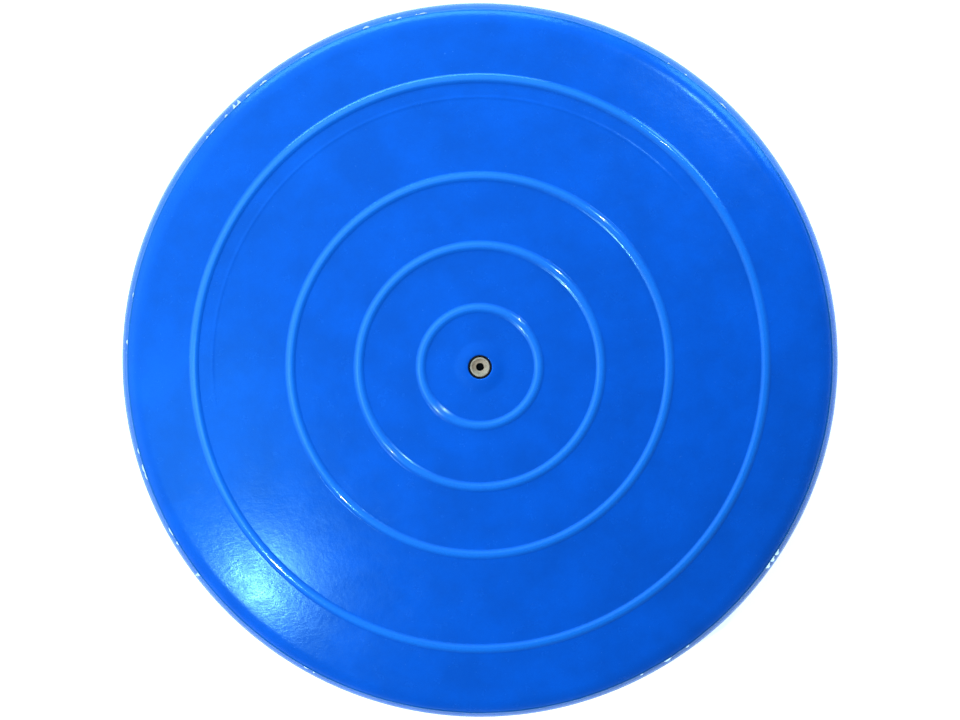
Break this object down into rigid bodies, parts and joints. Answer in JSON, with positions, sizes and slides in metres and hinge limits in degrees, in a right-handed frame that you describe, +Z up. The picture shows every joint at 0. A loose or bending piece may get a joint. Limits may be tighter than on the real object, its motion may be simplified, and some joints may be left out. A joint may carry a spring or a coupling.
{
  "type": "wobble cushion",
  "caption": "Round air-filled balance cushion with raised rings on one face, rounded studs on the other, and a needle valve in the middle.",
  "frame": {"origin": "on the floor under the centre of the disc, at the stud tips", "axes": "+Z up through the valve, from the studded face to the ringed face; X and Y are equivalent, and the cushion tilts about X"},
  "size_m": [0.3299, 0.33, 0.0562],
  "materials": {
    "blue_pvc": "satin",
    "seam_pvc": "satin",
    "black_rubber": "matte",
    "pale_rubber": "matte"
  },
  "bodies": {
    "lower_half": {"stud_face_shell": "blue_pvc"},
    "rim": {"rim_seam": "seam_pvc"},
    "upper_half": {"ring_face_shell": "blue_pvc", "valve_housing": "black_rubber", "valve_core": "pale_rubber"}
  },
  "joints": [
    {"name": "tilt", "type": "hinge", "parent": "lower_half", "child": "rim", "pos_m": [0, 0, 0.027], "axis": [1, 0, 0], "range_deg": [-6, 6], "stiffness_Nm_per_rad": 60, "deforming": ["stud_face_shell"]},
    {"name": "press", "type": "slide", "parent": "rim", "child": "upper_half", "axis": [0, 0, -1], "range_m": [0, 0.012], "stiffness_N_per_m": 30000, "deforming": ["ring_face_shell"]}
  ]
}
